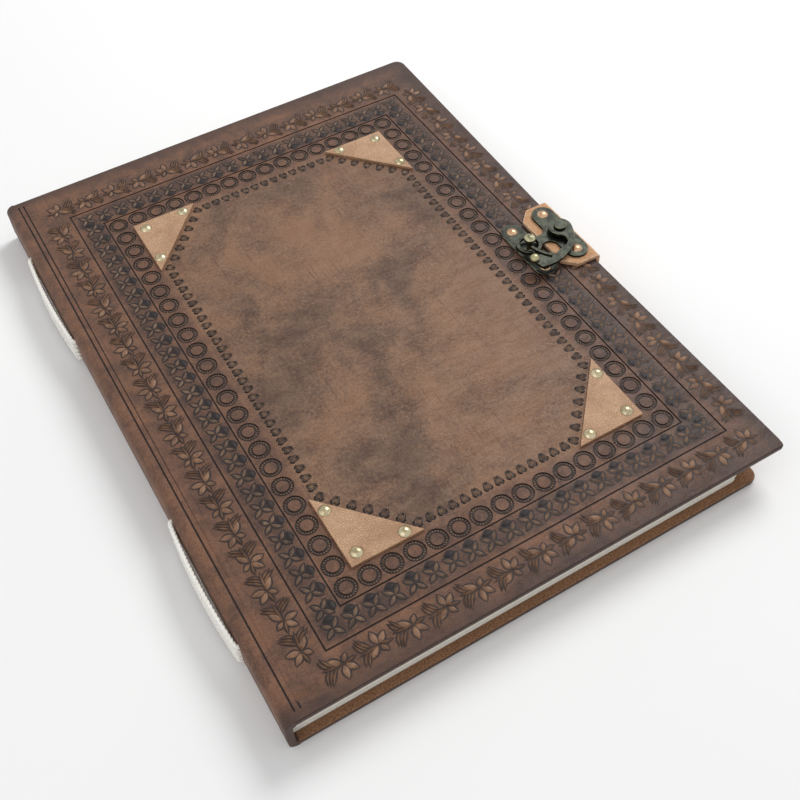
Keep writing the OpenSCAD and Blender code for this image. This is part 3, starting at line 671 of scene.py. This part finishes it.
frontPiece = mergedCopy("front_cover", "coverFront")
levelScrollBand(frontPiece)
roundOutline(frontPiece, frontLow.z, frontHigh.z)
finish(frontPiece, "front_cover", frontLeather, ["front_cover"])

backPiece = mergedCopy("back_cover", "coverBack")
roundOutline(backPiece, backLow.z, backHigh.z)
finish(backPiece, "back_cover", backLeather, ["back_cover"])
print("covers made")


# Spine: one hide in two halves, each bending at its fold into the cover that it runs into

spine = {"foldRadius": hingeX - spineLow.x, "foldSteps": 14, "flankSteps": 4}


def spineHalf(name, upward):
    sign = 1 if upward else -1
    middleZ = (spineLow.z + spineHigh.z) / 2
    foldZ = spineHigh.z - spine["foldRadius"] if upward else spineLow.z + spine["foldRadius"]
    start = (spineLow.x + leatherThick / 2, 0, middleZ)
    piece = startFace(name, start, leatherThick, spineHigh.y - spineLow.y)
    for step in range(spine["flankSteps"]):
        pull(0, (foldZ - middleZ) / spine["flankSteps"])
    bpy.ops.mesh.spin(steps=spine["foldSteps"], angle=-sign * math.pi / 2,
                      center=(hingeX, 0, foldZ), axis=(0, 1, 0))
    mergeDoubles()
    closeShape()
    smoothByAngle(piece, 30)
    return piece


upperSpine = spineHalf("spineUpper", True)
finish(upperSpine, None, spineLeather, ["spine"])
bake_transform(upperSpine)
lowerSpine = spineHalf("spineLower", False)
finish(lowerSpine, None, spineLeather)
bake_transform(lowerSpine)
print("spine made")


# Corner patches and their rivets

patchEdge = 0.35 * mm
for end in ("head", "tail"):
    for side in ("spine", "fore"):
        node = "patch_" + end + "_" + side
        piece = softCopy(node, "patch" + end.capitalize() + side.capitalize(), patchEdge)
        finish(piece, "front_cover", tanLeather, [node])

rivetEdge = 0.18 * mm
rivets = {
    "patch_rivets": ("patchRivets", "front_cover", champagne),
    "catch_rivets": ("catchRivets", "front_cover", copper),
    "hasp_rivets": ("haspRivets", "clasp_flap", copper),
    "strap_rivets": ("strapRivets", "back_cover", champagne),
    "catch_post": ("catchPost", "front_cover", postBrass),
}
for node, (name, body, metal) in rivets.items():
    piece = softCopy(node, name, rivetEdge)
    finish(piece, body, metal, [node])
print("patches and rivets made")


# Clasp

claspEdges = {
    "catch_plate": ("catchPlate", "front_cover", 0.22 * mm),
    "hasp_plate": ("haspPlate", "clasp_flap", 0.28 * mm),
    "hook_pivot": ("hookPivot", "clasp_flap", 0.25 * mm),
    "swing_hook": ("swingHook", "hook", 0.3 * mm),
}
for node, (name, body, width) in claspEdges.items():
    piece = softCopy(node, name, width, 3)
    finish(piece, body, hookBronze if node == "swing_hook" else bronze, [node])
print("clasp made")


# Strap: one length of suede from the back cover, up the fore edge and over the front cover

flapLow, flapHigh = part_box("strap_flap")
tailLow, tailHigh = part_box("strap_tail")
strap = {
    "thick": flapHigh.z - flapLow.z,
    "cut": 6.4 * mm,
    "jointZ": tailLow.z + 3 * mm,  # the tail goes over into the flap here, above its lower round
    "uprightShares": (0.6, 0.2, 0.05, 0.05, 0.05, 0.05),
    "foldSteps": 8,
    "bend": 3.5 * mm,  # the flap bends within this height below its fold
    "edgeRound": 0.5 * mm,
}


def makeStrap():
    width = tailHigh.y - tailLow.y
    middleY = (tailLow.y + tailHigh.y) / 2
    innerX = tailHigh.x - strap["thick"]
    # the upright part starts as a flat face at the lower fold and is pulled up from there
    start = (innerX + strap["thick"] / 2, middleY, strap["jointZ"])
    piece = startFace("strapSuede", start, strap["thick"], width)
    for share in strap["uprightShares"]:
        pull(0, (flapLow.z - strap["jointZ"]) * share)
    bpy.ops.mesh.spin(steps=strap["foldSteps"], angle=math.pi / 2,
                      center=(innerX, middleY, flapLow.z), axis=(0, 1, 0))
    flat = innerX - flapLow.x
    pull(strap["cut"] - flat, 0)
    pull(-strap["cut"], 0)
    mergeDoubles()
    # the end corners are cut off
    for side in (-1, 1):
        corner = (flapLow.x + strap["cut"], middleY + side * width / 2, 0)
        bpy.ops.mesh.select_all(action="SELECT")
        bpy.ops.mesh.bisect(plane_co=corner, plane_no=(-1, side, 0), clear_outer=True, use_fill=True)
    closeShape()
    return piece


strapPiece = makeStrap()
tailPiece = mergedCopy("strap_tail", "strapTailSuede")
pick(tailPiece)
bpy.ops.object.mode_set(mode="EDIT")
bpy.ops.mesh.select_all(action="SELECT")
bpy.ops.mesh.bisect(plane_co=(0, 0, strap["jointZ"]), plane_no=(0, 0, 1), clear_outer=True, use_fill=True)
bpy.ops.object.mode_set(mode="OBJECT")
smoothByAngle(tailPiece, 40)
roundEdges(strapPiece, strap["edgeRound"], 3, 60)
smoothByAngle(strapPiece, 40)
finish(tailPiece, "back_cover", suede, ["strap_tail"])
finish(strapPiece, None, suede, ["strap_flap"])
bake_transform(strapPiece)
print("strap made")


# Pages

pages = mergedCopy("page_block", "pageBlock")
smoothByAngle(pages, 30)
finish(pages, "text_block", paper, ["page_block"])


# Sewing: each long stitch is a cord of three strands

sewing = {
    "cord": 2.2 * mm,
    "strandRadius": 0.62 * mm,
    "strandOut": 0.5 * mm,
    "lay": 6.5 * mm,  # length of one full twist
    "stitch": 66 * mm,
    "middleY": 92 * mm,
    "bow": (1.7 * mm, 0.7 * mm, 1.5 * mm, 0.9 * mm, 1.6 * mm),  # one for each gathering, lowest first
    "gap": 0.15 * mm,
    "turn": 1.32 * mm,  # radius in which a stitch turns into its hole
    "turnSteps": 6, "bowSteps": 80,
    "inHole": (4 * mm, 2.4 * mm),  # points of a stitch's end in its hole
}


def stitchPath(middleY, z, bow):
    out = spineLow.x - sewing["cord"] / 2 - sewing["gap"]
    half, r = sewing["stitch"] / 2, sewing["turn"]

    def turnIn(end):  # from the hole out to the flank
        points = [Vector((out + depth, middleY + end * half, z)) for depth in sewing["inHole"]]
        for k in range(sewing["turnSteps"] + 1):
            a = math.pi / 2 * k / sewing["turnSteps"]
            y = middleY + end * (half - r + r * math.cos(a))
            points.append(Vector((out + r - r * math.sin(a), y, z)))
        return points

    points = turnIn(-1)
    for k in range(1, sewing["bowSteps"]):
        u = -1 + 2 * k / sewing["bowSteps"]
        points.append(Vector((out - bow * (1 - u * u), middleY + u * (half - r), z)))
    return points + turnIn(1)[::-1]


def makeSewing():
    curve = bpy.data.curves.new("sewingCord", "CURVE")
    curve.dimensions = "3D"
    curve.bevel_depth = sewing["strandRadius"]
    curve.bevel_resolution = 1
    for row in range(workshop["gatherings"]):
        for side in (-1, 1):
            z = pagesLow.z + (row + 0.5) * gatherDepth
            path = stitchPath(side * sewing["middleY"], z, sewing["bow"][row])
            shift = chance.uniform(0, math.tau)
            for strand in range(3):
                spline = curve.splines.new("POLY")
                spline.points.add(len(path) - 1)
                run = 0
                for k, p in enumerate(path):
                    ahead = path[min(k + 1, len(path) - 1)] - path[max(k - 1, 0)]
                    ahead.normalize()
                    if k:
                        run += (p - path[k - 1]).length
                    lift = Vector((0, 0, 1))
                    across = ahead.cross(lift)
                    a = shift + strand * math.tau / 3 + run / sewing["lay"] * math.tau
                    q = p + sewing["strandOut"] * (math.cos(a) * lift + math.sin(a) * across)
                    spline.points[k].co = (q.x, q.y, q.z, 1)
    pick(newObject("sewingCord", curve))
    bpy.ops.object.convert(target="MESH")
    bpy.ops.object.shade_smooth()
    return justAdded("sewingCord")


cord = makeSewing()
finish(cord, "text_block", cotton, ["sewing_cord"])
print("pages and sewing made")


# Raised detail in the tooling, each stamp modelled once

tooling = {
    "ringsAcross": 16, "ringsDown": 23, "ringOut": 6.1 * mm,
    "crossOut": 18.8 * mm, "crossPitch": 9.2 * mm,
    "scrollOut": 35.6 * mm,
    "floor": frontHigh.z - coverLook["toolDepth"],
}
ringStamp = {"dots": 20, "dotRadius": 0.5 * mm, "circle": 3.95 * mm, "lift": 0.05 * mm}


def alongBorder(out, acrossCount, downCount):
    middleX, middleY = coverLook["panelMiddle"]
    halfX, halfY = coverLook["panelHalf"][0] + out, coverLook["panelHalf"][1] + out
    places = []
    for side in (-1, 1):
        for i in range(acrossCount):
            x = middleX + halfX * (2 * i / (acrossCount - 1) - 1)
            places.append((x, middleY + side * halfY, 0 if side < 0 else math.pi, 1))
        for i in range(1, downCount - 1):
            y = middleY + halfY * (2 * i / (downCount - 1) - 1)
            places.append((middleX + side * halfX, y, side * math.pi / 2, 1))
    return places


def countFor(half, pitch):
    return 1 + round(2 * half / pitch)


def makeRingStamp():
    parts = []
    for k in range(ringStamp["dots"]):
        a = math.tau * k / ringStamp["dots"]
        clearSelection()
        bpy.ops.mesh.primitive_ico_sphere_add(
            subdivisions=1, radius=ringStamp["dotRadius"],
            location=(ringStamp["circle"] * math.cos(a), ringStamp["circle"] * math.sin(a),
                      tooling["floor"] + ringStamp["lift"]))
        parts.append(justAdded("dot"))
    stamp = joinPieces(parts, "ringStamp")
    placeInMesh(stamp)
    return stamp


ringPlaces = alongBorder(tooling["ringOut"], tooling["ringsAcross"], tooling["ringsDown"])
rings = stampCopies(makeRingStamp(), ringPlaces, "ringStamps")
finish(rings, "front_cover", dotLeather)


blade = {
    "rows": 6,
    "shares": (0.04, 0.6, 0.94, 1.0, 0.86, 0.55, 0.04),  # of the full width, from row to row
    "clear": 0.03 * mm, "step": 0.004 * mm,  # above the cover, and each blade of a stamp above the last
    "groundRise": 0.01 * mm,
    "groundBack": 0.7,  # how far a ground starts behind its blade, in spreads
}


def leafBlade(length, width, lift, bend, spot, turn, z):
    # a grid is drawn in to a point at both ends, bent to one side and raised along its middle
    rows = [(row, -0.5 + row / blade["rows"]) for row in range(blade["rows"] + 1)]
    clearSelection()
    bpy.ops.mesh.primitive_grid_add(x_subdivisions=2, y_subdivisions=blade["rows"], size=1)
    leaf = justAdded("blade")
    for row, y in rows:
        selectParts(leaf, "VERT", lambda v: abs(v.co.y - y) < 0.01)
        bpy.ops.transform.resize(value=(blade["shares"][row], 1, 1), center_override=(0, y, 0))
        if 0 < row < blade["rows"]:
            selectParts(leaf, "VERT", lambda v: abs(v.co.y - y) < 0.01 and abs(v.co.x) < 0.001)
            bpy.ops.transform.translate(value=(0, 0, 1))
    for row, y in rows:
        selectParts(leaf, "VERT", lambda v: abs(v.co.y - y) < 0.01)
        bpy.ops.transform.translate(value=((y + 0.5) ** 2 * bend / width, 0, 0))
    bpy.ops.object.mode_set(mode="OBJECT")
    leaf.scale = (width, length, lift)
    leaf.rotation_euler = (0, 0, turn)
    out = length / 2
    leaf.location = (spot[0] - out * math.sin(turn), spot[1] + out * math.cos(turn), z)
    placeInMesh(leaf)
    return leaf


def makeStamp(shapes, raised, rise, spread, mirrored=False):
    # each shape: length, width, bend, x, y, turn in degrees; the ground is a wider, flat copy, dark with dye and
    # painted shade round the raised shape
    parts = []
    side = -1 if mirrored else 1
    wider, back = (0, 0) if raised else (2 * spread, spread * blade["groundBack"])
    lift = rise if raised else blade["groundRise"]
    for index, (length, width, bend, x, y, turn) in enumerate(shapes):
        angle = math.radians(turn if side > 0 else 180 - turn)
        spot = (x * mm + back * math.sin(angle), side * y * mm - back * math.cos(angle))
        level = frontHigh.z + blade["clear"] + blade["step"] * index
        parts.append(leafBlade(length * mm + 2 * back, width * mm + wider, lift, side * bend * mm,
                               spot, angle, level))
    return joinPieces(parts, "stamp")


# x runs with the border and y points to the edge of the cover
cross = {
    "rise": 0.55 * mm, "spread": 0.85 * mm,
    "leaves": ((4.7, 1.5, 0.4, 0.15, 0.15, -45), (4.7, 1.5, 0.4, -0.15, 0.15, 45),
               (4.7, 1.5, -0.4, 0.15, -0.15, -135), (4.7, 1.5, -0.4, -0.15, -0.15, 135)),
    "caps": ((4.6, 2.6, 0, -2.3, -4.0, -90),),
}
crossAcross = countFor(coverLook["panelHalf"][0] + tooling["crossOut"], tooling["crossPitch"])
crossDown = countFor(coverLook["panelHalf"][1] + tooling["crossOut"], tooling["crossPitch"])
crossPlaces = [(x, y, turn + math.pi, size)
               for x, y, turn, size in alongBorder(tooling["crossOut"], crossAcross, crossDown)]
# the grounds are flat dark sheets: dye and painted shade round the raised leaves and caps
for name, shapes, raised, material in (
        ("crossGroundDyeAndShade", cross["leaves"] + cross["caps"], False, stampDarkDyeAndShade),
        ("crossLeaves", cross["leaves"], True, dotLeather), ("crossCaps", cross["caps"], True, stampDarkDyeAndShade)):
    stamped = stampCopies(makeStamp(shapes, raised, cross["rise"], cross["spread"]), crossPlaces, name)
    finish(stamped, "front_cover", material)


# the tip of each heart points to the middle of the panel
heart = {
    "inset": 4.5 * mm, "pitch": 5.7 * mm, "slanting": 7, "height": 5 * mm, "clear": 0.9 * mm,
    "patch": (34 * mm, 37.5 * mm), "rise": 0.42 * mm, "spread": 0.6 * mm,
    "ridges": ((4.0, 0.85, -1.5, 0.6, -2.0, -20), (4.0, 0.85, 1.5, -0.6, -2.0, 20),
               (2.6, 1.2, 0, 0, -1.5, 0)),
}


def heartPlaces():
    middleX, middleY = coverLook["panelMiddle"]
    halfX, halfY = coverLook["panelHalf"]
    patchX, patchY = heart["patch"]
    countX = int((2 * halfX - 2 * patchX - 2 * heart["inset"]) / heart["pitch"]) + 1
    countY = int((2 * halfY - 2 * patchY - 2 * heart["inset"]) / heart["pitch"]) + 1
    places = []
    for side in (-1, 1):
        for i in range(countX):
            x = middleX + (i - (countX - 1) / 2) * heart["pitch"]
            places.append((x, middleY + side * (halfY - heart["inset"]), 0 if side < 0 else math.pi, 1))
        for i in range(countY):
            y = middleY + (i - (countY - 1) / 2) * heart["pitch"]
            places.append((middleX + side * (halfX - heart["inset"]), y, side * math.pi / 2, 1))
    away = Vector((patchY, patchX)).normalized()
    for sideX in (-1, 1):
        for sideY in (-1, 1):
            for i in range(heart["slanting"]):
                t = (i + 0.5) / heart["slanting"]
                x = patchX * (1 - t) + away.x * (heart["height"] / 2 + heart["clear"])
                y = patchY * t + away.y * (heart["height"] / 2 + heart["clear"])
                turn = math.atan2(sideY * away.y, sideX * away.x) - math.pi / 2
                placeX = middleX - sideX * halfX + sideX * x
                placeY = middleY - sideY * halfY + sideY * y
                places.append((placeX, placeY, turn, 1))
    return places


heartSpots = heartPlaces()
# each heart's ground is a flat dark sheet: dye and painted shade round its ridges
for name, raised, material in (("heartGroundDyeAndShade", False, stampDarkDyeAndShade), ("heartRidges", True, dotLeather)):
    stamp = makeStamp(heart["ridges"], raised, heart["rise"], heart["spread"])
    finish(stampCopies(stamp, heartSpots, name), "front_cover", material)


vine = {
    "pitch": 14.8 * mm, "rise": 0.55 * mm, "spread": 0.95 * mm, "cornerRoom": 9 * mm,
    "inward": 1.9 * mm, "size": 0.9,
    "leaves": ((6.2, 2.6, 0.4, -4.6, 0.2, 48), (6.4, 2.7, -0.4, -4.0, 0.5, -10),
               (6.6, 2.6, 0.5, -3.6, -0.5, -122), (4.2, 1.9, 0.2, -4.6, -0.6, 150)),
    "blades": ((7.4, 1.0, -3.0, -0.8, 0.5, -58), (6.4, 0.95, -2.8, 1.0, 0.3, -56),
               (5.2, 0.9, -2.4, 2.8, 0.1, -54), (6.8, 1.0, 3.0, -0.2, -0.9, -124), (5.6, 0.95, 2.6, 1.8, -1.1, -122),
               (9.4, 0.9, 1.4, -4.2, -0.5, -86), (6.6, 0.8, -1.4, -10.4, -0.8, -88)),
}


def alongVine():
    middleX, middleY = coverLook["panelMiddle"]
    halfX = coverLook["panelHalf"][0] + tooling["scrollOut"] - vine["inward"]
    halfY = coverLook["panelHalf"][1] + tooling["scrollOut"] - vine["inward"]
    runY = halfY - vine["cornerRoom"]
    across, down = round(2 * halfX / vine["pitch"]), round(2 * runY / vine["pitch"])
    places = []
    for i in range(across):
        x = middleX + halfX * (2 * (i + 0.5) / across - 1)
        places += [(x, middleY - halfY, math.pi, i), (x, middleY + halfY, 0, i)]
    for i in range(down):
        y = middleY + runY * (2 * (i + 0.5) / down - 1)
        places += [(middleX - halfX, y, math.pi / 2, i), (middleX + halfX, y, -math.pi / 2, i)]
    return places


vinePlaces = alongVine()
# each vine's ground is a flat dark sheet: dye and painted shade round its relief
for mirrored, word in ((False, "Even"), (True, "Odd")):
    these = [(x, y, turn, vine["size"]) for x, y, turn, i in vinePlaces if i % 2 == mirrored]
    shapes = vine["leaves"] + vine["blades"]
    for layer, raised, material in (("vineGroundDyeAndShade", False, vineDarkDyeAndShade), ("vineRelief", True, reliefLeather)):
        stamp = makeStamp(shapes, raised, vine["rise"], vine["spread"], mirrored)
        finish(stampCopies(stamp, these, layer + word), "front_cover", material)
print("tooling made")


# Floor, light and camera

studio = {
    "floorSize": 6.0, "floorTone": 0.93, "whiteFrom": 0.22, "whiteTo": 0.7,
    "ambient": 0.55,
    "keyLamp": ((0.85, 0.45, 1.0), 0.7, 11.0),  # place, size and power
    "fillLamp": ((-0.9, -0.3, 0.9), 1.2, 3.0),
}
# the photograph's own view: place, directions and field of view
view = {
    "spot": (-149.0, -310.6, 392.3), "look": (0.2991, 0.5386, -0.7877), "right": (0.8599, -0.5099, -0.0222),
    "focalPixels": 1047.05, "picturePixels": 800, "sensor": 36,
}


def seenRays(tree):  # what the camera sees, straight or by way of metal and glass
    rays = tree.nodes.new("ShaderNodeLightPath").outputs
    through = maths(tree, "MAXIMUM", rays["Is Glossy Ray"], rays["Is Transmission Ray"])
    return maths(tree, "MAXIMUM", rays["Is Camera Ray"], through)


def makeFloor():
    clearSelection()
    bpy.ops.mesh.primitive_plane_add(size=studio["floorSize"], location=(0, 0, 0))
    floor = justAdded("studioFloor")
    material, tree, surface, spot = newMaterial("studioWhite", 0.9, specular=0.1)
    surface.inputs["Base Color"].default_value = (studio["floorTone"],) * 3 + (1,)
    # further off, the floor goes over into the white background
    away = add(tree, "VectorMath", {0: spot["Object"]}, operation="LENGTH").outputs["Value"]
    white = tree.nodes.new("ShaderNodeEmission")
    white.inputs["Color"].default_value = (1, 1, 1, 1)
    mix = tree.nodes.new("ShaderNodeMixShader")
    far = ramp(tree, away, studio["whiteFrom"], studio["whiteTo"])
    tree.links.new(times(tree, far, seenRays(tree)), mix.inputs[0])
    tree.links.new(surface.outputs[0], mix.inputs[1])
    tree.links.new(white.outputs[0], mix.inputs[2])
    shown = [item for item in tree.nodes if item.bl_idname == "ShaderNodeOutputMaterial"][0]
    tree.links.new(mix.outputs[0], shown.inputs[0])
    floor.data.materials.append(material)


def makeWorld():
    world = bpy.data.worlds.new("studioWorld")
    bpy.context.scene.world = world
    world.use_nodes = True
    tree = world.node_tree
    tree.nodes.clear()
    strength = plus(tree, studio["ambient"], times(tree, seenRays(tree), 1 - studio["ambient"]))
    glow = tree.nodes.new("ShaderNodeBackground")
    glow.inputs[0].default_value = (1, 1, 1, 1)
    tree.links.new(strength, glow.inputs[1])
    out = tree.nodes.new("ShaderNodeOutputWorld")
    tree.links.new(glow.outputs[0], out.inputs[0])


def addLamp(name):
    spot, size, power = studio[name]
    clearSelection()
    bpy.ops.object.light_add(type="AREA", location=spot)
    lamp = justAdded(name)
    lamp.data.shape = "DISK"
    lamp.data.size = size
    lamp.data.energy = power
    lamp.rotation_euler = (-Vector(spot)).to_track_quat("-Z", "Y").to_euler()


def makeCamera():
    look = Vector(view["look"]).normalized()
    up = Vector(view["right"]).cross(look).normalized()
    right = look.cross(up)
    turn = Matrix((right, up, -look)).transposed().to_4x4()
    bpy.ops.object.camera_add()
    camera = justAdded("photoCamera")
    camera.matrix_world = Matrix.Translation(Vector(view["spot"]) * mm) @ turn
    camera.data.sensor_width = view["sensor"]
    camera.data.lens = view["sensor"] * view["focalPixels"] / view["picturePixels"]
    camera.data.clip_start = 0.01
    bpy.context.scene.camera = camera


makeFloor()
makeWorld()
addLamp("keyLamp")
addLamp("fillLamp")
makeCamera()
bpy.context.scene.view_settings.view_transform = "Standard"
print("studio made")
